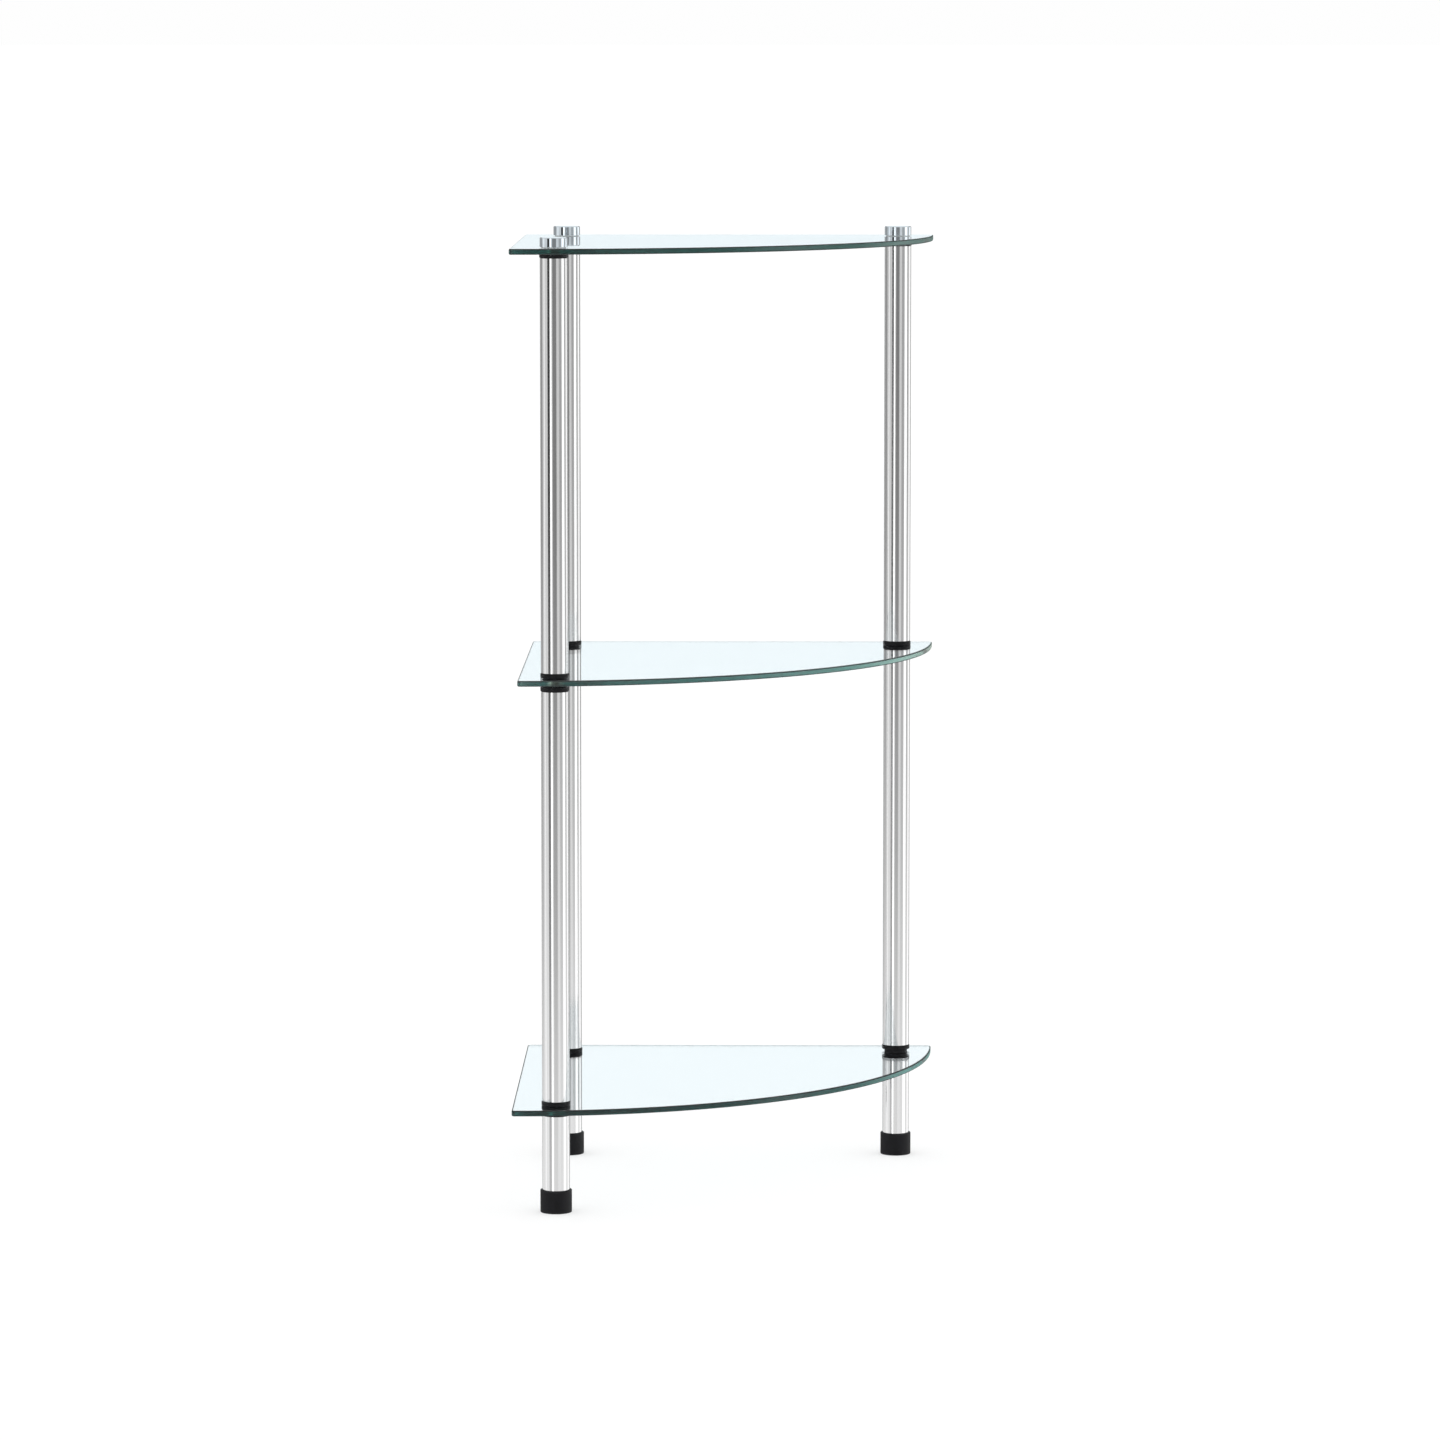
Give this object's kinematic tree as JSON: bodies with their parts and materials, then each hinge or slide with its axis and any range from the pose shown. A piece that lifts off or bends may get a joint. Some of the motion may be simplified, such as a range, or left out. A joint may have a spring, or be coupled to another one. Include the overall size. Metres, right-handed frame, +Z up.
{
  "type": "glass corner etagere",
  "caption": "Corner etagere with clear quarter-round glass shelves on screwed steel tube poles, with black plugs at the glass, black push-on feet and bright caps on top.",
  "frame": {"origin": "on the floor, under the centre of the box round the shelves", "axes": "+Z up; the right-angle corner of the shelves is at -X and +Y, with one straight edge along X at +Y and the other along Y at -X; the round edge faces -Y and +X"},
  "size_m": [0.293, 0.293, 0.67],
  "materials": {
    "clear_glass": "clear toughened glass, polished edge with a dark green tint",
    "steel_tube": "bright stainless steel, fine lengthwise grain",
    "chrome_cap": "polished chrome",
    "black_plastic": "moulded black plastic, satin",
    "black_foot": "moulded black rubber-like plastic, matt",
    "zinc_steel": "zinc-plated steel",
    "clear_plastic": "clear plastic sheet"
  },
  "bodies": {
    "root": {"bottom_shelf": "clear_glass", "middle_shelf": "clear_glass", "top_shelf": "clear_glass", "front_foot": "black_foot", "front_leg_tube": "steel_tube", "front_lower_tube": "steel_tube", "front_upper_tube": "steel_tube", "front_leg_plug": "black_plastic", "front_lower_tube_bottom_plug": "black_plastic", "front_lower_tube_top_plug": "black_plastic", "front_upper_tube_bottom_plug": "black_plastic", "front_upper_tube_top_plug": "black_plastic", "front_cap": "chrome_cap", "corner_foot": "black_foot", "corner_leg_tube": "steel_tube", "corner_lower_tube": "steel_tube", "corner_upper_tube": "steel_tube", "corner_leg_plug": "black_plastic", "corner_lower_tube_bottom_plug": "black_plastic", "corner_lower_tube_top_plug": "black_plastic", "corner_upper_tube_bottom_plug": "black_plastic", "corner_upper_tube_top_plug": "black_plastic", "corner_cap": "chrome_cap", "right_foot": "black_foot", "right_leg_tube": "steel_tube", "right_lower_tube": "steel_tube", "right_upper_tube": "steel_tube", "right_leg_plug": "black_plastic", "right_lower_tube_bottom_plug": "black_plastic", "right_lower_tube_top_plug": "black_plastic", "right_upper_tube_bottom_plug": "black_plastic", "right_upper_tube_top_plug": "black_plastic", "right_cap": "chrome_cap", "plug_nuts": "zinc_steel", "joining_studs": "zinc_steel", "cap_studs": "zinc_steel", "cap_washers": "clear_plastic"}
  },
  "joints": []
}
